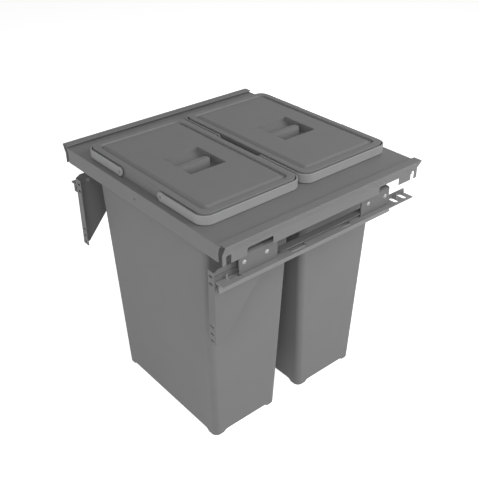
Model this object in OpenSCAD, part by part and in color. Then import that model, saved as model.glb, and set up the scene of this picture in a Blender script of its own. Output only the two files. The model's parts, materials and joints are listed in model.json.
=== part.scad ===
// Pull-out waste unit for a 600 mm base cabinet: a sheet-steel tray on two full-extension ball runners carries
// two lidded bins, and two brackets at the front take the cabinet's door.
// Every piece is drawn in one working frame: X to the right as seen from the door, Y from the front edge of the
// tray to its rear, Z up from the top of the tray's side rims. place() moves it onto the ground under the bins.

/* [Tray] */
// Width of the tray over its side rims
tray_w = 560; // [552:1:600]
// Depth of the tray from front flange to rear flange
tray_d = 519; // [517:1:560]
// Thickness of the tray's sheet steel
tray_t = 1.2; // [1:0.1:1.5]
// Height of the side rims above the deck
rim_h = 4.5; // [4:0.1:5]
// Width of the flat top of each side rim
rim_flat = 21; // [19:1:23]
// Distance of the leg under a rim from the rim's outer edge
rim_leg = 16; // [15:0.5:17]
// Width of the foot that joins a rim's leg to the deck
rim_foot = 5; // [3:0.5:5]
// How far each rim stands out over its side skirt
rim_lip = 9; // [7:0.5:11]
// Height of the slanting part under each rim
lip_h = 19.7; // [16:0.1:21]
// Depth of the side skirts below the rim
skirt_h = 42; // [38:1:46]
// Depth of the front and rear flanges below the rim
flange_h = 39; // [30:1:44]
// Gap between the front flange's end and the side skirt
flange_gap = 12; // [8:1:16]
// Inside radius of the folds in sheet metal
fold_r = 0.4; // [0.4:0.1:1]

/* [Tray cut-outs] */
// Distance of the skirt windows from the tray's front and rear edge
window_inset = 55.5; // [40:0.5:70]
// Length of each skirt window
window_l = 61.5; // [40:0.5:80]
// Height of the skirt left above a window, from the rim down
window_top = 26; // [24:1:34]
// Distance of the hook notches from the front and rear edge
notch_inset = 8; // [6:0.5:12]
// Width of a hook notch
notch_w = 11.5; // [8:0.5:14]
// Height of the skirt left above a hook notch, from the rim down
notch_top = 24; // [22:1:32]
// Width of the tray left beside the openings, rim included
side_land = 90.1; // [84:0.1:100]
// Width of the deck left before the front opening and behind the rear one
front_land = 20.95; // [18:0.05:30]
// Width of the deck left between the two openings
mid_land = 20.3; // [19.2:0.1:30]
// Clearance between a bin's wall and its opening in the deck
opening_gap = 2.5; // [1.5:0.1:4]
// Radius of the openings' corners
opening_r = 16; // [14:1:22]

/* [Bins] */
// Overall height of a bin from its feet to its rim
bin_h = 578.5; // [420:0.5:700]
// Height of a bin's rim above the tray's side rims
bin_rise = 16.5; // [15:0.1:20]
// How far each end wall of a bin leans in between rim and feet
bin_lean_l = 14.4; // [5:0.1:30]
// How far a bin's front and rear wall lean in between rim and feet
bin_lean_d = 23.7; // [10:0.1:35]
// Radius of a bin's upright corners
bin_r = 14; // [10:1:16]
// Thickness of a bin's wall
bin_wall = 2.4; // [1.8:0.1:3]
// How far the collar stands out from a bin's end walls
collar_out_l = 7.1; // [5:0.1:9]
// How far the collar stands out from a bin's front and rear wall
collar_out_d = 4.5; // [4:0.1:5]
// Thickness of the collar
collar_t = 2.2; // [1.8:0.1:2.6]
// Height of the four corner feet
foot_h = 6; // [3:0.5:10]
// Length of each corner foot along the bin's sides
foot_l = 24; // [18:1:40]

/* [Lids] */
// How far a lid stands out over the collar's ends
lid_out_l = 0.4; // [0.2:0.05:0.8]
// How far a lid stands out over the collar's front and rear
lid_out_d = 0.45; // [0.2:0.05:0.7]
// Thickness of a lid
lid_t = 2; // [1.8:0.1:2.4]
// Radius of a lid's rounded top edge
lid_edge_r = 1.2; // [0.6:0.1:1.6]
// Radius of a lid's corners
lid_r = 20; // [16:0.5:24]
// Width of the flat border outside the groove
border_w = 12.7; // [12:0.1:14]
// Width of the groove round the panel
groove_w = 13.5; // [10:0.5:14.5]
// Depth of the groove
groove_h = 4.6; // [3:0.1:6]
// Length of the finger pocket along the lid
pocket_l = 95; // [80:1:110]
// Depth of the finger pocket, front to back
pocket_d = 88; // [80:1:96]
// How deep the finger pocket reaches below the lid's top
pocket_h = 18.7; // [16:0.1:24]
// Length of the grip bar from the pocket's front wall
grip_l = 74; // [60:1:78]
// Width of the grip bar
grip_w = 20; // [16:1:24]

/* [Bail handles] */
// Height of the handle's band
band_h = 19.3; // [17:0.1:19.3]
// Thickness of the handle's band
band_t = 3.4; // [2.6:0.1:3.6]
// Gap between a lid's edge and the band
band_gap = 2.2; // [2:0.1:2.6]
// Distance of the handle's pivot from the middle of the bin
pivot_x = 71; // [50:1:110]
// Diameter of the pivot pin
pivot_dia = 6; // [4:0.5:9]

/* [Runners] */
// Length of the cabinet rails
rail_l = 516.5; // [500:0.5:530]
// Distance of the cabinet rails' front end from the tray's front edge
rail_start = 2.5; // [0:0.5:6]
// Width of a runner from the door bracket's face to the outer edge of the cabinet rail's web
runner_w = 25.3; // [24:0.1:30]
// Distance of that edge from the line of the tray's side rim
runner_inset = 10.7; // [8:0.1:14]
// Depth of the rail's web below the tray's side rims
web_z = 88.4; // [86:0.2:96]
// Thickness of the cabinet rail's web
web_t = 2; // [1.6:0.1:2.4]
// Thickness of the folded members
race_t = 1.5; // [1.3:0.1:1.6]
// Gap that the balls run in
race_gap = 1.9; // [1.8:0.05:2.1]
// Diameter of the balls
ball_dia = 2.3; // [2.2:0.05:2.4]
// Number of balls in each row
balls_a_row = 10; // [4:1:14]
// Length of a ball cage
cage_l = 200; // [160:5:210]
// Distance of a ball cage from the rail's front end
cage_y = 122.5; // [118:0.5:128]

/* [Door brackets] */
// Height of the bracket's flange that takes the door
bracket_h = 165; // [140:1:220]
// Width of the bracket's flange
bracket_w = 19; // [16:1:26]
// Thickness of the bracket
bracket_t = 2; // [1.5:0.1:2.4]
// Depth of the gusset at its top edge
gusset_d = 150; // [110:1:180]
// Length of a slot in the flange
door_slot_l = 10; // [6:0.5:12]
// Width of a slot in the flange
door_slot_w = 5; // [3:0.5:6]

/* [Hidden] */
$fn = 48;

// Sides and overrun
left = -1;
right = 1;
cut = 1;
fold_steps = 4;
half_turn = 180;

// Colours
steel_grey = "#747474";
rail_grey = "#6e6e6e";
bin_grey = "#6f7173";
lid_grey = "#6b6d6f";
band_grey = "#8b8d8f";
bright_steel = "#c9cbcc";

// Side profile, right side
skirt_x = tray_w / 2 - rim_lip;
nose_x = tray_w / 2 - rim_flat;
leg_x = tray_w / 2 - rim_leg;
deck_half = leg_x + rim_foot;
// Corner of the rim before its fold is rounded, so that the rounded rim is tray_w wide
lip_slant = [rim_lip, lip_h] / norm([rim_lip, lip_h]);
rim_x = tray_w / 2 + (fold_r + tray_t) * ((1 + lip_slant.x) / lip_slant.y - 1);

// Deck and its openings
deck_z = -rim_h;
under_deck = deck_z - tray_t;
// Small hole in the middle of the front flange
front_hole_dia = 5;
front_hole_drop = 22;
window_r = 5;
opening_l = tray_w - side_land - side_land;
opening_d = (tray_d - front_land - front_land - mid_land) / 2;

// Bins fill the openings and stand one behind the other
bin_l = opening_l - opening_gap - opening_gap;
bin_d = opening_d - opening_gap - opening_gap;
bin_foot_l = bin_l - bin_lean_l - bin_lean_l;
bin_foot_d = bin_d - bin_lean_d - bin_lean_d;
bin_pitch = opening_d + mid_land;
front_y = tray_d / 2 - bin_pitch / 2;
rear_y = tray_d / 2 + bin_pitch / 2;
seat_gap = 0.2;
floor_z = bin_rise - bin_h;
base_t = 3;
// Share of the feet's height that their flared ends take along the bin's sides
foot_flare_share = 1.6;

// Collar and lid
collar_l = bin_l + collar_out_l + collar_out_l;
collar_d = bin_d + collar_out_d + collar_out_d;
collar_z = deck_z + seat_gap;
collar_r = lid_r - lid_out_l;
lid_l = collar_l + lid_out_l + lid_out_l;
lid_d = collar_d + lid_out_d + lid_out_d;
lid_top = bin_rise + seat_gap + lid_t;
// What the groove's outer corner adds to its width, that corner's radius in plan, and the steep outer wall's width
groove_extra_r = 1.5;
groove_r = groove_w + groove_extra_r;
groove_wall = 2.2;
groove_l = lid_l - border_w - border_w;
groove_d = lid_d - border_w - border_w;
panel_l = groove_l - groove_w - groove_w;
panel_d = groove_d - groove_w - groove_w;
// Pocket place in the lid, measured from the lid's middle
pocket_x = 5.2;
pocket_y = 7.4;
pocket_wall = 8;
pocket_steps = 8;
// Grip bar, measured from the pocket's middle
grip_t = 2.6;
grip_left = 8;
grip_draft = 3;
grip_drop = 3.5;

// Handle
band_lift = 1;
band_z = collar_z + band_lift + band_h / 2;
band_mid = band_gap + band_t / 2;
band_edge_r = 1.4;
pivot_gap = 0.3;
pivot_clear = 0.15;
boss_dia = 12;
notch_x = 14;
notch_r = 1.8;

// Runner section, right side, measured outward from the door bracket's outer face
rail_x = tray_w / 2 - runner_inset;
runner_x = rail_x - runner_w;
rail_rear = rail_start + rail_l;
web_under = -web_z - web_t;
wall_out = runner_x + race_t;
// Clear space between neighbouring members
member_gap = 1.4;
tongue_w = 6;
tongue_h = 5.2;
tongue_t = 1.2;
race_mid = web_under - race_gap - race_t - race_gap - tongue_h / 2;
tongue_x = wall_out + tongue_w;
mid_wall = tongue_x + member_gap;
mid_out = mid_wall + race_t;
cab_wall = mid_out + member_gap;
cab_out = cab_wall + race_t;
lip_x = wall_out + member_gap;
mid_h = tongue_h + race_gap + race_gap + race_t + race_t;
cab_h = mid_h + race_gap + race_gap;
// Places of the ball rows across the members
inner_row = 3.4;
outer_row = 5.4;
inner_row_x = wall_out + inner_row;
outer_row_x = wall_out + outer_row;
inner_row_z = tongue_h / 2 + race_gap / 2;
outer_row_z = mid_h / 2 + race_gap / 2;
ball_clear = 0.15;
cage_t = 0.7;
cage_hole_clear = 0.2;
outer_cage_x = mid_out + (member_gap - cage_t) / 2;
inner_cage_x = tongue_x + (member_gap - cage_t) / 2;
rail_end_gap = 1;
// The members under the web end before the fixing slots
slot_room = 60;
race_rear = rail_rear - slot_room;

// Drawer rail: a plate beside the web, blocks that are riveted to the hangers, and a shelf between the blocks
over_web = 1.2;
plate_z = -web_z + over_web;
plate_chamfer = 3;
shelf_rise = 9.9;
shelf_z = -web_z + shelf_rise;
shelf_top = shelf_z + race_t;
tab_out = 13.5;
tab_x = runner_x + tab_out;
tab_in = tab_x - race_t;
tab_drop = 47.5;
shelf_out = 16;
shelf_x = runner_x + shelf_out;
shelf_r = 4;
shelf_step = 7;
// Blocks, measured from the tray's front edge and from the rail's rear end, and the shelf between them
front_block_y = 48;
front_block_l = 92;
rear_block_end = 67;
rear_block_l = 84;
front_block = [front_block_y, front_block_y + front_block_l];
rear_block = [rail_rear - rear_block_end - rear_block_l, rail_rear - rear_block_end];
shelf_gap_front = 7;
shelf_gap_rear = 3;
shelf_span = [front_block[1] + shelf_gap_front, rear_block[0] - shelf_gap_rear];

// Hanger: flat against the block's tab, then inboard over the drawer rail's plate and up to the deck
hanger_drop = 46;
hanger_gap = 1.5;
hanger_t = 1.5;
hanger_x = wall_out + hanger_gap;
hanger_low = shelf_top + over_web;
// Its flange under the deck reaches halfway to the opening
hanger_end = (opening_l / 2 + hanger_x) / 2;

// Rivets of the hangers: distances from a block's outer and inner end, and drop below the rims
rivet_outer = 12;
front_rivet_inner = 26;
rear_rivet_inner = 21;
rivet_drop = 64.6;
rivet_dia = 4;
rivet_head_dia = 9.5;
rivet_head_h = 1.8;
rivet_clear = 0.05;
dome_r = (rivet_head_dia * rivet_head_dia / 4 + rivet_head_h * rivet_head_h) / (rivet_head_h + rivet_head_h);
front_rivets = [front_block[0] + rivet_outer, front_block[1] - front_rivet_inner];
rear_rivets = [rear_block[0] + rear_rivet_inner, rear_block[1] - rivet_outer];

// Cut-outs and fittings of the cabinet rail's web, along it from its front or rear end, across it from the bracket
web_corner_r = 3;
web_foot_in = 6;
web_foot_l = 58;
pin_out = 6.2;
pin_front = 22.5;
pin_rear = 32;
pin_dia = 3.6;
pin_foot_dia = 4.6;
pin_foot_h = 2;
pin_h = 9;
rear_slot_in = 16.5;
rear_slot_pitch = 26.7;
rear_slot_l = 21;
rear_slot_w = 11;
rear_slot_out = 8.8;
front_slot_y = 32;
front_slot_l = 11;
front_slot_w = 3;
front_slot_out = 8.8;
key_hole_y = 47.2;
key_hole_l = 12.6;
key_hole_w = 7.3;
key_hole_out = 13.5;
relief_spans = [[170, 211], [308, 335]];
relief_in = 4;
relief_w = 15.5;
relief_r = 5;
row_hole_dia = 3;
row_hole_out = 12.3;
row_holes_in = [28, 56.5, 65, 74, 88];

// Door bracket, with its slots' drops below the rims
bracket_front = 2;
bracket_drop = 71;
bracket_top = -bracket_drop;
bracket_low = bracket_top - bracket_h;
gusset_drop = 65;
gusset_tip_drop = 78;
gusset_chamfer = 10.6;
gusset_foot = 14;
door_slot_in = 11;
door_slot_drops = [82.8, 99.2, 195.6, 212, 228.3];
bracket_rivets_y = [30, 90];
bracket_rivet_drop = 83;
bracket_rivet_head = 1.2;

// Moves the working frame onto the kept one: ground under the feet, middle of the overall box
module place() {
    translate([0, -tray_d / 2, -floor_z]) children();
}

// Draws the right-hand piece, or its mirror image on the left
module on_side(side) {
    if (side == right) children();
    else mirror([1, 0, 0]) children();
}

// Extrudes a section drawn in X and Z along Y
module along_y(from, to) {
    translate([0, to, 0]) rotate([90, 0, 0]) linear_extrude(to - from) children();
}

// Extrudes an outline drawn in Y and Z along X
module along_x(from, to) {
    translate([from, 0, 0]) rotate([90, 0, 90]) linear_extrude(to - from) children();
}

// Unit normal to the left of the way from a to b
function left_of(a, b) = let (d = b - a) [-d.y, d.x] / norm(d);

// Corner of a band of thickness t laid to the left of a path
function mitre(p, n0, n1, t) = p + t * (n0 + n1) / (1 + n0 * n1);

// Closed outline of a sheet of thickness t laid to the left of a path
function sheet(path, t) = let (last = len(path) - 1)
    concat(path, [for (i = [last:-1:0])
        let (a = max(i - 1, 0), b = min(i, last - 1))
        mitre(path[i], left_of(path[a], path[a + 1]), left_of(path[b], path[b + 1]), t)]);

// Vector turned by an angle
function turned(v, angle) = [v.x * cos(angle) - v.y * sin(angle), v.x * sin(angle) + v.y * cos(angle)];

// Arc of radius r that rounds corner p between a and b
function bend(a, p, b, r) =
    let (u = (a - p) / norm(a - p), v = (b - p) / norm(b - p), half = acos(u * v) / 2,
        centre = p + (u + v) / norm(u + v) * r / sin(half),
        start = p + u * r / tan(half) - centre,
        way = sign(u.y * v.x - u.x * v.y), swept = half_turn - half - half)
    [for (i = [0:fold_steps]) centre + turned(start, way * swept * i / fold_steps)];

// Path with its inner corners rounded
function folded(path, r) = concat([path[0]],
    [for (i = [1:len(path) - 2]) each bend(path[i - 1], path[i], path[i + 1], r)], [path[len(path) - 1]]);

// Rounded rectangle about the middle
module rounded_rect(l, d, r) {
    square([l - r - r, d], center = true);
    square([l, d - r - r], center = true);
    for (x = [left, right], y = [left, right])
        translate([x * (l / 2 - r), y * (d / 2 - r)]) circle(r);
}

// Stadium of full length l and width w along X
module slot_shape(l, w) {
    square([l - w, w], center = true);
    for (x = [left, right]) translate([x * (l - w) / 2, 0]) circle(d = w);
}

// Sweeps a section (X outward from the path, Y up) round a rounded rectangle
module ring(l, d, r) {
    for (a = [0, half_turn]) rotate(a) {
        translate([l / 2 - r, d / 2 - r, 0]) rotate_extrude(angle = 90) translate([r, 0]) children();
        rotate(90) translate([d / 2 - r, l / 2 - r, 0]) rotate_extrude(angle = 90) translate([r, 0]) children();
        translate([l / 2, d / 2 - r, 0]) rotate([90, 0, 0]) linear_extrude(d - r - r) children();
        rotate(90) translate([d / 2, l / 2 - r, 0]) rotate([90, 0, 0]) linear_extrude(l - r - r) children();
    }
}

// Tray

// Outer face of the tray's section from the front flange over the deck to the rear flange, in Y and Z
tray_path = [[0, -flange_h], [0, deck_z], [tray_d, deck_z], [tray_d, -flange_h]];

// Outline of the tray seen from the front: deck, and flanges cut back beside the skirts
module tray_front() {
    low = skirt_x - flange_gap;
    top = low + rim_lip / 2;
    polygon([[-deck_half, deck_z], [deck_half, deck_z], [deck_half, under_deck], [top, under_deck],
        [low, -lip_h], [low, -flange_h], [-low, -flange_h], [-low, -lip_h], [-top, under_deck],
        [-deck_half, under_deck]]);
}

module tray_frame() color(steel_grey) place() difference() {
    intersection() {
        along_x(-deck_half, deck_half) polygon(sheet(folded(tray_path, fold_r + tray_t), -tray_t));
        along_y(0, tray_d) tray_front();
    }
    for (y = [front_y, rear_y]) translate([0, y, under_deck - cut]) linear_extrude(tray_t + cut + cut)
        rounded_rect(opening_l, opening_d, opening_r);
    translate([0, -cut, -front_hole_drop]) rotate([-90, 0, 0])
        cylinder(h = tray_t + cut + cut, d = front_hole_dia);
}

// Outline of a skirt window, open at the bottom and rounded at its upper front corner
module skirt_window(from, to, top, r) {
    polygon(concat(bend([from, -skirt_h - cut], [from, -top], [to, -top], r),
        [[to, -top], [to, -skirt_h - cut], [from, -skirt_h - cut]]));
}

// Half circle round the nose of a rim's closed hem, from its underside to its top
nose_arc = [for (a = [0:half_turn / (fold_steps + fold_steps):half_turn])
    [nose_x + tray_t - tray_t * sin(a), -tray_t - tray_t * cos(a)]];

// Section of a side profile: rim with a closed hem, lip and skirt, and a leg whose foot lies on the deck
profile_outline = concat(
    sheet(folded([[leg_x + tray_t, 0], [rim_x, 0], [skirt_x, -lip_h], [skirt_x, -skirt_h]], fold_r + tray_t),
        -tray_t),
    [[leg_x + tray_t, deck_z + tray_t], [leg_x + rim_foot, deck_z + tray_t], [leg_x + rim_foot, deck_z],
        [leg_x, deck_z], [leg_x, -tray_t - tray_t]],
    nose_arc);

module side_profile(side) color(steel_grey) place() on_side(side) difference() {
    along_y(0, tray_d) polygon(profile_outline);
    along_x(skirt_x - tray_t - cut, tray_w / 2) {
        skirt_window(window_inset, window_inset + window_l, window_top, window_r);
        skirt_window(tray_d - window_inset - window_l, tray_d - window_inset, window_top, window_r);
        skirt_window(notch_inset, notch_inset + notch_w, notch_top, notch_w / 3);
        skirt_window(tray_d - notch_inset - notch_w, tray_d - notch_inset, notch_top, notch_w / 3);
    }
}

// Plate that hangs a drawer rail from the deck
module hanger(side, span, rivets) color(steel_grey) place() on_side(side) difference() {
    along_y(span[0], span[1]) polygon(sheet(folded(
        [[hanger_end, under_deck], [hanger_x, under_deck], [hanger_x, -hanger_drop], [tab_in, -hanger_drop],
            [tab_in, hanger_low]], fold_r + hanger_t), -hanger_t));
    rivet_holes(rivets);
}

// Holes of two rivets through a block's tab and the hanger behind it
module rivet_holes(places) {
    for (y = places) translate([tab_in - hanger_t - cut, y, -rivet_drop]) rotate([0, 90, 0])
        cylinder(h = race_t + hanger_t + cut + cut, d = rivet_dia + rivet_clear + rivet_clear);
}

// Round-headed rivet along X, its head's seat at the origin and its shank going back
module rivet(grip) {
    rotate([0, 90, 0]) {
        intersection() {
            translate([0, 0, rivet_head_h - dome_r]) sphere(dome_r);
            cylinder(h = rivet_head_h, d = rivet_head_dia);
        }
        translate([0, 0, -grip - rivet_head_h / 2])
            cylinder(h = grip + rivet_head_h / 2 + rivet_head_h / 2, d = rivet_dia);
        translate([0, 0, -grip - rivet_head_h / 2]) cylinder(h = rivet_head_h / 2, d = rivet_dia + rivet_head_h);
    }
}

module hanger_rivets() color(bright_steel) place()
    for (side = [left, right], y = concat(front_rivets, rear_rivets))
        on_side(side) translate([tab_x, y, -rivet_drop]) rivet(race_t + hanger_t);

// Runner

// C-section open toward the cabinet's middle, its wall's inner face at x and its height h about the race's middle
module c_section(from, wall, h, t) {
    translate([from, race_mid - h / 2]) square([wall + t - from, t]);
    translate([from, race_mid + h / 2 - t]) square([wall + t - from, t]);
    translate([wall, race_mid - h / 2]) square([t, h]);
}

// Grooves in which one pair of ball rows runs
module ball_grooves(x, z) {
    for (way = [left, right]) translate([x, rail_rear + cut, race_mid + way * z]) rotate([90, 0, 0])
        cylinder(h = rail_l + cut + cut, d = ball_dia + ball_clear + ball_clear);
}

// Web of the cabinet rail, seen from above, widened inward at its rear end where the fixing slots are
module web_outline() {
    difference() {
        union() {
            translate([lip_x, rail_start]) square([rail_x - web_corner_r - lip_x, rail_l]);
            translate([lip_x, rail_start + web_corner_r]) square([rail_x - lip_x, rail_l - web_corner_r]);
            translate([rail_x - web_corner_r, rail_start + web_corner_r]) circle(web_corner_r);
            translate([runner_x - web_foot_in, rail_rear - web_foot_l])
                square([lip_x - runner_x + web_foot_in, web_foot_l]);
        }
        for (y = [rail_rear - rear_slot_in - rear_slot_pitch, rail_rear - rear_slot_in])
            translate([runner_x + rear_slot_out, y]) slot_shape(rear_slot_l, rear_slot_w);
        translate([runner_x + front_slot_out, rail_start + front_slot_y]) rotate(90)
            slot_shape(front_slot_l, front_slot_w);
        translate([runner_x + key_hole_out, rail_start + key_hole_y]) slot_shape(key_hole_l, key_hole_w);
        for (span = relief_spans)
            translate([runner_x + relief_in + relief_w / 2, rail_start + (span[0] + span[1]) / 2])
                rounded_rect(relief_w, span[1] - span[0], relief_r);
        for (drop = row_holes_in) translate([runner_x + row_hole_out, rail_rear - drop]) circle(d = row_hole_dia);
    }
}

module cabinet_rail(side) color(rail_grey) place() on_side(side) difference() {
    union() {
        translate([0, 0, web_under]) linear_extrude(web_t) web_outline();
        along_y(rail_start, race_rear) {
            translate([lip_x, race_mid - cab_h / 2 - race_t]) square([cab_out - lip_x, race_t]);
            translate([cab_wall, race_mid - cab_h / 2 - race_t]) square([race_t, cab_h + race_t]);
        }
    }
    ball_grooves(outer_row_x, outer_row_z);
}

module rail_pins() color(bright_steel) place()
    for (side = [left, right], y = [rail_start + pin_front, rail_rear - pin_rear])
        on_side(side) translate([runner_x + pin_out, y, -web_z]) {
            cylinder(h = pin_foot_h, d = pin_foot_dia);
            cylinder(h = pin_h, d = pin_dia);
        }

module middle_rail(side) color(rail_grey) place() on_side(side) difference() {
    along_y(rail_start + rail_end_gap, race_rear - rail_end_gap) c_section(lip_x, mid_wall, mid_h, race_t);
    ball_grooves(outer_row_x, outer_row_z);
    ball_grooves(inner_row_x, inner_row_z);
}

// Place of a ball in its row
function ball_y(i) = rail_start + cage_y + cage_l * (i + 1 / 2) / balls_a_row;

// Cage of thin sheet that keeps two rows of balls apart
module ball_cage(side, row_x, row_z, wall) color(bright_steel) place() on_side(side) difference() {
    along_y(rail_start + cage_y, rail_start + cage_y + cage_l)
        c_section(row_x - ball_dia, wall, row_z + row_z + cage_t, cage_t);
    for (i = [0:balls_a_row - 1]) translate([row_x, ball_y(i), race_mid - row_z - ball_dia])
        cylinder(h = row_z + row_z + ball_dia + ball_dia, d = ball_dia + cage_hole_clear + cage_hole_clear);
}

module ball_rows(side, row_x, row_z) color(bright_steel) place() on_side(side)
    for (i = [0:balls_a_row - 1], way = [left, right])
        translate([row_x, ball_y(i), race_mid + way * row_z]) sphere(d = ball_dia);

// Plan of the drawer rail's shelf between the two blocks
module shelf_outline() {
    l = shelf_span[1] - shelf_span[0];
    translate([shelf_x - shelf_step - shelf_r, shelf_span[0] + l / 2]) intersection() {
        rounded_rect(shelf_step + shelf_step + shelf_r + shelf_r, l, shelf_r);
        translate([0, -l / 2]) square([shelf_step + shelf_r, l]);
    }
}

// Side view of the drawer rail's plate: full height over the races, then only above the web
module plate_outline() {
    polygon([[rail_start, race_mid - tongue_h / 2], [race_rear, race_mid - tongue_h / 2], [race_rear, plate_z],
        [rail_rear, plate_z], [rail_rear - plate_chamfer, shelf_top], [rail_start, shelf_top]]);
}

module drawer_rail(side) color(rail_grey) place() on_side(side) difference() {
    union() {
        along_x(runner_x, wall_out) plate_outline();
        along_y(rail_start, race_rear) difference() {
            translate([runner_x, race_mid - tongue_h / 2]) square([tongue_x - runner_x, tongue_h]);
            translate([wall_out, race_mid - tongue_h / 2 + tongue_t])
                square([tongue_w - tongue_t, tongue_h - tongue_t - tongue_t]);
        }
        for (span = [front_block, rear_block]) along_y(span[0], span[1]) {
            translate([runner_x, shelf_z]) square([tab_x - runner_x, race_t]);
            translate([tab_in, plate_z]) square([race_t, web_z - over_web - tab_drop]);
        }
        translate([0, 0, shelf_z]) linear_extrude(race_t) {
            translate([runner_x, front_block[1]])
                square([shelf_x - shelf_step - runner_x, rear_block[0] - front_block[1]]);
            shelf_outline();
        }
    }
    ball_grooves(inner_row_x, inner_row_z);
    rivet_holes(concat(front_rivets, rear_rivets));
    for (y = bracket_rivets_y) translate([runner_x - cut, y, -bracket_rivet_drop]) rotate([0, 90, 0])
        cylinder(h = race_t + cut + cut, d = rivet_dia + rivet_clear + rivet_clear);
}

// Door bracket

// Outline of the gusset in Y and Z
gusset_outline = [
    [bracket_front, bracket_low], [gusset_foot + bracket_front, bracket_low],
    [gusset_d, -gusset_tip_drop], [gusset_d, -gusset_drop], [gusset_chamfer + bracket_front, -gusset_drop],
    [bracket_front, bracket_top],
];

module door_bracket(side) color(steel_grey) place() on_side(side) difference() {
    union() {
        along_x(runner_x - bracket_t, runner_x) polygon(gusset_outline);
        translate([runner_x - bracket_w, bracket_front, bracket_low]) cube([bracket_w, bracket_t, bracket_h]);
    }
    for (drop = door_slot_drops) translate([runner_x - door_slot_in, bracket_front - cut, -drop])
        rotate([-90, 0, 0]) linear_extrude(bracket_t + cut + cut) slot_shape(door_slot_l, door_slot_w);
    for (y = bracket_rivets_y) translate([runner_x - bracket_t - cut, y, -bracket_rivet_drop])
        rotate([0, 90, 0]) cylinder(h = bracket_t + cut + cut, d = rivet_dia + rivet_clear + rivet_clear);
}

module bracket_rivets() color(bright_steel) place() for (side = [left, right], y = bracket_rivets_y)
    on_side(side) translate([runner_x - bracket_t, y, -bracket_rivet_drop]) rotate([0, 90, 0]) {
        cylinder(h = bracket_t + race_t, d = rivet_dia);
        translate([0, 0, -bracket_rivet_head]) cylinder(h = bracket_rivet_head, d = rivet_head_dia);
    }

// Bin

// Tapered body, narrowed all round by a wall and cut off at a height above the feet
module bin_body(inset, from) {
    k = from / bin_h;
    l = bin_foot_l + (bin_l - bin_foot_l) * k - inset - inset;
    d = bin_foot_d + (bin_d - bin_foot_d) * k - inset - inset;
    hull() {
        translate([0, 0, floor_z + from]) linear_extrude(foot_h) rounded_rect(l, d, bin_r - inset, $fn = 32);
        translate([0, 0, bin_rise - collar_t]) linear_extrude(collar_t)
            rounded_rect(bin_l - inset - inset, bin_d - inset - inset, bin_r - inset, $fn = 32);
    }
}

// Arch between two feet, flared into them
module foot_arch(half) {
    flare = foot_h * foot_flare_share;
    polygon(concat([[-half, floor_z - cut], [-half, floor_z]],
        [for (i = [1:fold_steps]) [-half + flare * i / fold_steps, floor_z + foot_h * sin(90 * i / fold_steps)]],
        [for (i = [fold_steps:-1:1]) [half - flare * i / fold_steps, floor_z + foot_h * sin(90 * i / fold_steps)]],
        [[half, floor_z], [half, floor_z - cut]]));
}

module bin(y) color(bin_grey) place() translate([0, y, 0]) difference() {
    union() {
        bin_body(0, 0);
        translate([0, 0, bin_rise - collar_t]) linear_extrude(collar_t) difference() {
            rounded_rect(collar_l, collar_d, collar_r);
            rounded_rect(bin_l - bin_wall, bin_d - bin_wall, bin_r);
        }
        translate([0, 0, collar_z]) linear_extrude(bin_rise - collar_z) difference() {
            rounded_rect(collar_l, collar_d, collar_r);
            rounded_rect(collar_l - collar_t - collar_t, collar_d - collar_t - collar_t, collar_r - collar_t);
        }
        for (x = [left, right], way = [0, half_turn]) rotate(way)
            translate([x * pivot_x, collar_d / 2 - collar_t, band_z]) rotate([-90, 0, 0]) {
                cylinder(h = collar_t + lid_out_d + band_gap - pivot_gap, d = boss_dia);
                cylinder(h = collar_t + lid_out_d + band_gap + band_t, d = pivot_dia);
            }
    }
    bin_body(bin_wall, foot_h + base_t);
    along_y(-bin_d, bin_d) foot_arch(bin_foot_l / 2 - foot_l);
    along_x(-bin_l, bin_l) foot_arch(bin_foot_d / 2 - foot_l);
}

// Lid

// Section of the groove, from its outer edge inward: a steep wall, then a floor that slopes up to the panel
groove_points = [[0, cut], [0, 0], [-groove_wall, -groove_h], [-groove_w, 0], [-groove_w, cut]];

// Hollow under the groove's floor, which keeps its skin as thick as the lid
groove_relief = [[-groove_wall, -groove_h - lid_t], [-groove_w, -lid_t], [-groove_w, -groove_h - lid_t - cut],
    [-groove_wall, -groove_h - lid_t - cut]];

// What the rounding takes off the lid's top edge
edge_points = concat(bend([-lid_edge_r - cut, 0], [0, 0], [0, -lid_edge_r - cut], lid_edge_r),
    [[cut, -lid_edge_r], [cut, cut], [-lid_edge_r, cut]]);

// Hollow slope of the pocket's floor, at a depth below the lid's top
pocket_slope_l = pocket_l / 2;
function pocket_slope(drop) = [for (i = [0:pocket_steps]) [-pocket_l / 2 + pocket_slope_l * i / pocket_steps,
    -pocket_wall - (pocket_h - pocket_wall) * sin(90 * i / pocket_steps) - drop]];

// Section of the pocket in X and Z: upright left wall, hollow slope, flat floor, upright right wall
pocket_section = concat([[-pocket_l / 2, cut]], pocket_slope(0), [[pocket_l / 2, -pocket_h], [pocket_l / 2, cut]]);

// Hollow under the slope
pocket_relief = concat([[-pocket_l / 2 - lid_t - cut, -pocket_wall - lid_t]], pocket_slope(lid_t),
    [[0, -pocket_h - lid_t - cut], [-pocket_l / 2 - lid_t - cut, -pocket_h - lid_t - cut]]);

// Grip bar: a top that slopes to the fingers' side, and a wall down to the floor
grip_right = grip_w - grip_left;
grip_ridge = grip_w / 2 - grip_left;
grip_section = [
    [-grip_left, -grip_drop], [grip_ridge, 0], [grip_right, 0], [grip_right + grip_draft, -pocket_h],
    [grip_right + grip_draft - grip_t, -pocket_h], [grip_right - grip_t, -grip_t], [grip_ridge, -grip_t],
    [-grip_left, -grip_drop - grip_t],
];

// Block that the pocket is hollowed out of
module pocket_block() {
    translate([pocket_x - pocket_l / 2 - lid_t, pocket_y - pocket_d / 2 - lid_t, -pocket_h - lid_t])
        cube([pocket_l + lid_t + lid_t, pocket_d + lid_t + lid_t, pocket_h + lid_t]);
}

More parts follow.
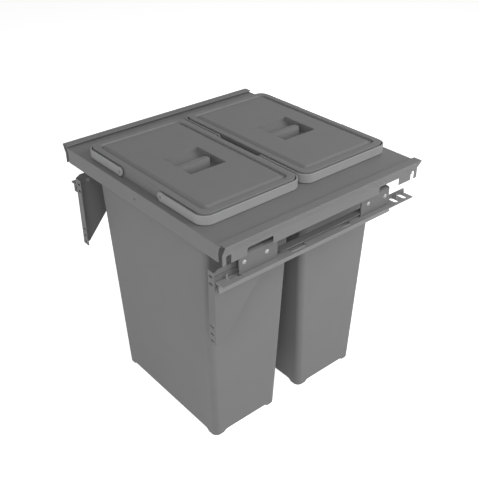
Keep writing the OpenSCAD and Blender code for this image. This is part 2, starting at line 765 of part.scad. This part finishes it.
module lid(y) color(lid_grey) place() translate([0, y, lid_top]) {
    difference() {
        union() {
            translate([0, 0, -lid_t]) linear_extrude(lid_t) rounded_rect(lid_l, lid_d, lid_r);
            translate([0, 0, -groove_h - lid_t]) linear_extrude(groove_h + lid_t)
                rounded_rect(groove_l + lid_t + lid_t, groove_d + lid_t + lid_t, groove_r + lid_t);
            pocket_block();
        }
        difference() {
            translate([0, 0, -groove_h - lid_t - cut]) linear_extrude(groove_h + cut)
                rounded_rect(panel_l - lid_t, panel_d - lid_t, lid_t);
            pocket_block();
        }
        ring(groove_l, groove_d, groove_r) polygon(groove_points);
        ring(groove_l, groove_d, groove_r) polygon(groove_relief);
        ring(lid_l, lid_d, lid_r) polygon(edge_points);
        translate([pocket_x, 0, 0]) along_y(pocket_y - pocket_d / 2, pocket_y + pocket_d / 2)
            polygon(pocket_section);
        translate([pocket_x, 0, 0])
            along_y(pocket_y - pocket_d / 2 - lid_t - cut, pocket_y + pocket_d / 2 + lid_t + cut)
            polygon(pocket_relief);
    }
    translate([pocket_x, 0, 0]) along_y(pocket_y - pocket_d / 2 - lid_t / 2, pocket_y - pocket_d / 2 + grip_l)
        polygon(grip_section);
}

// Bail handle

// Section of the band with rounded edges
module band_section() {
    square([band_t - band_edge_r - band_edge_r, band_h], center = true);
    square([band_t, band_h - band_edge_r - band_edge_r], center = true);
    for (x = [left, right], y = [left, right])
        translate([x * (band_t / 2 - band_edge_r), y * (band_h / 2 - band_edge_r)]) circle(band_edge_r);
}

module handle(y, side) color(band_grey) place() translate([0, y, band_z]) on_side(side) difference() {
    union() {
        intersection() {
            ring(lid_l + band_mid + band_mid, lid_d + band_mid + band_mid, lid_r + band_mid) band_section();
            translate([pivot_x, -lid_d, -band_h]) cube([lid_l, lid_d + lid_d, band_h + band_h]);
        }
        for (way = [left, right]) translate([pivot_x, way * (lid_d / 2 + band_mid) + band_t / 2, 0])
            rotate([90, 0, 0]) cylinder(h = band_t, d = band_h);
    }
    translate([pivot_x, lid_d, 0]) rotate([90, 0, 0])
        cylinder(h = lid_d + lid_d, d = pivot_dia + pivot_clear + pivot_clear);
    translate([pivot_x + notch_x, lid_d, band_h / 2]) rotate([90, 0, 0]) cylinder(h = lid_d + lid_d, r = notch_r);
}

cabinet_rail(left);  // cabinet_rail_left
cabinet_rail(right);  // cabinet_rail_right
rail_pins();
ball_cage(left, outer_row_x, outer_row_z, outer_cage_x);  // outer_ball_cage_left
ball_cage(right, outer_row_x, outer_row_z, outer_cage_x);  // outer_ball_cage_right
ball_rows(left, outer_row_x, outer_row_z);  // outer_balls_left
ball_rows(right, outer_row_x, outer_row_z);  // outer_balls_right
middle_rail(left);  // middle_rail_left
middle_rail(right);  // middle_rail_right
ball_cage(left, inner_row_x, inner_row_z, inner_cage_x);  // inner_ball_cage_left
ball_cage(right, inner_row_x, inner_row_z, inner_cage_x);  // inner_ball_cage_right
ball_rows(left, inner_row_x, inner_row_z);  // inner_balls_left
ball_rows(right, inner_row_x, inner_row_z);  // inner_balls_right
drawer_rail(left);  // drawer_rail_left
drawer_rail(right);  // drawer_rail_right
hanger(left, front_block, front_rivets);  // front_hanger_left
hanger(right, front_block, front_rivets);  // front_hanger_right
hanger(left, rear_block, rear_rivets);  // rear_hanger_left
hanger(right, rear_block, rear_rivets);  // rear_hanger_right
hanger_rivets();
door_bracket(left);  // door_bracket_left
door_bracket(right);  // door_bracket_right
bracket_rivets();
tray_frame();
side_profile(left);  // side_profile_left
side_profile(right);  // side_profile_right
bin(front_y);  // bin_front
bin(rear_y);  // bin_rear
lid(front_y);  // lid_front
lid(rear_y);  // lid_rear
handle(front_y, left);  // handle_front_left
handle(front_y, right);  // handle_front_right
handle(rear_y, left);  // handle_rear_left
handle(rear_y, right);  // handle_rear_right
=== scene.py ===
"""Looks of the pull-out waste unit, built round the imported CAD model."""

import json
import math

import bpy
from mathutils import Matrix, Vector


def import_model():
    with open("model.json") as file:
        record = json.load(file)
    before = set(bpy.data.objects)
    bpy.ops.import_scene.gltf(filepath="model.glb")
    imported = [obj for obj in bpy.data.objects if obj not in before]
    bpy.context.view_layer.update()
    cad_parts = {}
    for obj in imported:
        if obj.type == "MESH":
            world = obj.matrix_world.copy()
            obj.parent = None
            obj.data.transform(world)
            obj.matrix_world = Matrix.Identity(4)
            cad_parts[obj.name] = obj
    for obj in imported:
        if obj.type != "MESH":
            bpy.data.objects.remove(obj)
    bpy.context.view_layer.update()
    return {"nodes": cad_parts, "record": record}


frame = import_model()

# Camera, fitted to the photograph's edges: angles in degrees, lens and sensor in millimetres, place in metres
AZIMUTH = 50.2121
ELEVATION = 31.6241
ROLL = -0.4245
LENS = 55.74
SENSOR = 36.0
CAMERA_PLACE = (1.0998, -0.9119, 1.2240)

# Square lights, all turned to one point inside the unit: place and width in metres, power in watts.
# Two broad ones shine from the runner's side, low ones from the door's side and behind, weak ones above.
LIT_POINT = (0, 0, 0.3)
BROAD = 2.0
SMALL = 0.8
LIGHTS = {
    "key": {"place": (1.9, 1.5, 1.7), "size": BROAD, "power": 49.0},
    "side": {"place": (1.9, -1.5, 1.7), "size": BROAD, "power": 41.0},
    "front": {"place": (-0.3, -2.6, 0.5), "size": BROAD, "power": 22.0},
    "back": {"place": (0, 2.3, 1.8), "size": BROAD, "power": 6.0},
    "rear": {"place": (-2.0, 1.9, 0.1), "size": SMALL, "power": 20.0},
    "top": {"place": (0, 0, 3.0), "size": BROAD, "power": 4.0},
}

# World: its level as a light, and as what the camera sees
WORLD_LIGHT = 0.04
WORLD_SEEN = 1

# Floor: half its width and its drop below the feet in metres, its grey, and the glow that only the camera sees
FLOOR_HALF = 12.0
FLOOR_DROP = 0.0005
FLOOR_GREY = 0.75
FLOOR_GLOW = 0.88

# Finishes: grey as a linear level, scale of the grain, and depth of the grain and width of a soft edge in metres
FINISHES = {
    "tray_steel": {"grey": 0.185, "roughness": 0.55, "grain": 900, "grain_depth": 0.0001, "edge": 0.0006},
    # Runner steel is painted lighter than the tray's steel: painted light, standing in for the light its web gets
    # under the tray's overhang.
    "rail_steel": {"grey": 0.255, "roughness": 0.5, "grain": 900, "grain_depth": 0.0001, "edge": 0.0003},
    # Door bracket steel is painted darker than the tray's steel: painted shade of the brackets under the tray.
    "bracket_steel_painted_shade": {"grey": 0.165, "roughness": 0.5, "grain": 900, "grain_depth": 0.0001, "edge": 0.0003},
    # Drawer rail steel is painted darker than the tray's steel: painted shade of the blocks under the tray's rim.
    "drawer_rail_steel_painted_shade": {"grey": 0.15, "roughness": 0.5, "grain": 900, "grain_depth": 0.0001, "edge": 0.0003},
    "bright_steel": {"grey": 0.36, "roughness": 0.5, "grain": 1500, "grain_depth": 0.00005, "edge": 0.0003,
                     "metallic": 0.6},
    "bin_plastic": {"grey": 0.185, "roughness": 0.55, "grain": 1400, "grain_depth": 0.00012, "edge": 0.0012},
    "lid_plastic": {"grey": 0.185, "roughness": 0.55, "grain": 1400, "grain_depth": 0.00012, "edge": 0.0010},
    "handle_plastic": {"grey": 0.3, "roughness": 0.55, "grain": 1400, "grain_depth": 0.0001, "edge": 0.0006},
}
# Nodes whose grey differs from their CAD slot's: drawer rails and door brackets are painted darker, as painted
# shade under the tray
OWN_FINISH = {
    "drawer_rail_left": "drawer_rail_steel_painted_shade",
    "drawer_rail_right": "drawer_rail_steel_painted_shade",
    "door_bracket_left": "bracket_steel_painted_shade",
    "door_bracket_right": "bracket_steel_painted_shade",
}
# What all finishes share
SHINE = 0.25
CLOUD_SCALE = 14
CLOUD_DETAIL = 4
CLOUD_SPREAD = 0.05
GRAIN_DETAIL = 3
ROUGHNESS_SPREAD = 0.06
GRAIN_STRENGTH = 0.4
EDGE_SAMPLES = 4


def camera():
    """Puts the camera at the photograph's viewing angle."""
    azimuth = math.radians(AZIMUTH)
    elevation = math.radians(ELEVATION)
    roll = math.radians(ROLL)
    back = Vector((math.sin(azimuth) * math.cos(elevation), -math.cos(azimuth) * math.cos(elevation),
                   math.sin(elevation)))
    right = (-back).cross(Vector((0, 0, 1))).normalized()
    up = right.cross(-back)
    turned_right = right * math.cos(roll) + up * math.sin(roll)
    turned_up = up * math.cos(roll) - right * math.sin(roll)
    data = bpy.data.cameras.new("camera")
    data.lens = LENS
    data.sensor_width = SENSOR
    obj = bpy.data.objects.new("camera", data)
    turn = Matrix((turned_right, turned_up, back)).transposed().to_4x4()
    obj.matrix_world = Matrix.Translation(Vector(CAMERA_PLACE)) @ turn
    bpy.context.collection.objects.link(obj)
    bpy.context.scene.camera = obj


def area_light(name, place, size, power):
    """Adds a square soft light that looks at the lit point."""
    data = bpy.data.lights.new(name, "AREA")
    data.size = size
    data.energy = power
    obj = bpy.data.objects.new(name, data)
    obj.location = place
    obj.rotation_euler = (Vector(LIT_POINT) - Vector(place)).to_track_quat("-Z", "Y").to_euler()
    bpy.context.collection.objects.link(obj)


def cleared_tree(owner):
    """Empty node tree of a world or a material, as its nodes and its links."""
    owner.use_nodes = True
    owner.node_tree.nodes.clear()
    return owner.node_tree.nodes, owner.node_tree.links


def seen_rays(nodes, links):
    """Socket that is 1 for rays to the camera and for what shows in metal or glass, and 0 for light on things."""
    path = nodes.new("ShaderNodeLightPath")
    seen = path.outputs["Is Camera Ray"]
    for ray in ("Is Glossy Ray", "Is Transmission Ray"):
        either = nodes.new("ShaderNodeMath")
        either.operation = "MAXIMUM"
        links.new(seen, either.inputs[0])
        links.new(path.outputs[ray], either.inputs[1])
        seen = either.outputs[0]
    return seen


def seen_or_lit(nodes, links, lit, seen, output):
    """Sends one shader to the output for light on things, and another for what the camera sees."""
    mix = nodes.new("ShaderNodeMixShader")
    out = nodes.new(output)
    links.new(seen_rays(nodes, links), mix.inputs[0])
    links.new(lit.outputs[0], mix.inputs[1])
    links.new(seen.outputs[0], mix.inputs[2])
    links.new(mix.outputs[0], out.inputs["Surface"])


def background(nodes, strength):
    """White world shader of a given strength."""
    shader = nodes.new("ShaderNodeBackground")
    shader.inputs["Color"].default_value = (1, 1, 1, 1)
    shader.inputs["Strength"].default_value = strength
    return shader


def world():
    """White to the camera and in reflections, dim and even as a light."""
    scene_world = bpy.data.worlds.new("world")
    bpy.context.scene.world = scene_world
    nodes, links = cleared_tree(scene_world)
    dim = background(nodes, WORLD_LIGHT)
    white = background(nodes, WORLD_SEEN)
    seen_or_lit(nodes, links, dim, white, "ShaderNodeOutputWorld")


def floor_material():
    """Pale floor that looks near white to the camera and keeps the soft shadow."""
    mat = bpy.data.materials.new("floor")
    nodes, links = cleared_tree(mat)
    diffuse = nodes.new("ShaderNodeBsdfDiffuse")
    diffuse.inputs["Color"].default_value = (FLOOR_GREY, FLOOR_GREY, FLOOR_GREY, 1)
    glow = nodes.new("ShaderNodeEmission")
    glow.inputs["Strength"].default_value = FLOOR_GLOW
    both = nodes.new("ShaderNodeAddShader")
    links.new(diffuse.outputs[0], both.inputs[0])
    links.new(glow.outputs[0], both.inputs[1])
    seen_or_lit(nodes, links, diffuse, both, "ShaderNodeOutputMaterial")
    return mat


def floor():
    """Square floor under the bins' feet."""
    mesh = bpy.data.meshes.new("floor")
    signs = ((-1, -1), (1, -1), (1, 1), (-1, 1))
    corners = [(x * FLOOR_HALF, y * FLOOR_HALF, -FLOOR_DROP) for x, y in signs]
    mesh.from_pydata(corners, [], [(0, 1, 2, 3)])
    mesh.materials.append(floor_material())
    obj = bpy.data.objects.new("floor", mesh)
    bpy.context.collection.objects.link(obj)


def noise(nodes, links, place, scale, detail):
    """Socket of a noise laid over the object's own coordinates."""
    node = nodes.new("ShaderNodeTexNoise")
    node.inputs["Scale"].default_value = scale
    node.inputs["Detail"].default_value = detail
    links.new(place.outputs["Object"], node.inputs["Vector"])
    return node.outputs["Fac"]


def spread(nodes, links, value, low, high, socket):
    """Sends a value from 0 to 1 to a socket, as one from low to high."""
    node = nodes.new("ShaderNodeMapRange")
    node.inputs["To Min"].default_value = low
    node.inputs["To Max"].default_value = high
    links.new(value, node.inputs["Value"])
    links.new(node.outputs["Result"], socket)


def finish_material(name, grey, roughness, grain, grain_depth, edge, metallic=0.0):
    """A grey finish: fine grain in the surface, slight clouding of colour and roughness, softened edges."""
    mat = bpy.data.materials.new(name)
    mat.use_nodes = True
    nodes, links = mat.node_tree.nodes, mat.node_tree.links
    shader = nodes["Principled BSDF"]
    shader.inputs["Metallic"].default_value = metallic
    shader.inputs["Specular IOR Level"].default_value = SHINE
    place = nodes.new("ShaderNodeTexCoord")

    clouds = noise(nodes, links, place, CLOUD_SCALE, CLOUD_DETAIL)
    spread(nodes, links, clouds, grey * (1 - CLOUD_SPREAD), grey * (1 + CLOUD_SPREAD), shader.inputs["Base Color"])
    speckle = noise(nodes, links, place, grain, GRAIN_DETAIL)
    spread(nodes, links, speckle, roughness - ROUGHNESS_SPREAD, roughness + ROUGHNESS_SPREAD,
           shader.inputs["Roughness"])

    soft = nodes.new("ShaderNodeBevel")
    soft.samples = EDGE_SAMPLES
    soft.inputs["Radius"].default_value = edge
    bump = nodes.new("ShaderNodeBump")
    bump.inputs["Strength"].default_value = GRAIN_STRENGTH
    bump.inputs["Distance"].default_value = grain_depth
    links.new(speckle, bump.inputs["Height"])
    links.new(soft.outputs["Normal"], bump.inputs["Normal"])
    links.new(bump.outputs["Normal"], shader.inputs["Normal"])
    return mat


def dress():
    """Gives every CAD node the finish of its slot, or its own where it has one."""
    finishes = {name: finish_material(name, **values) for name, values in FINISHES.items()}
    slots = {row["node"]: row["material_slot"] for row in frame["record"]["subparts"]}
    slots.update(OWN_FINISH)
    for node, obj in frame["nodes"].items():
        for place in obj.material_slots:
            place.material = finishes[slots[node]]


camera()
for light, values in LIGHTS.items():
    area_light(light, **values)
world()
floor()
dress()
bpy.context.scene.view_settings.view_transform = "Standard"
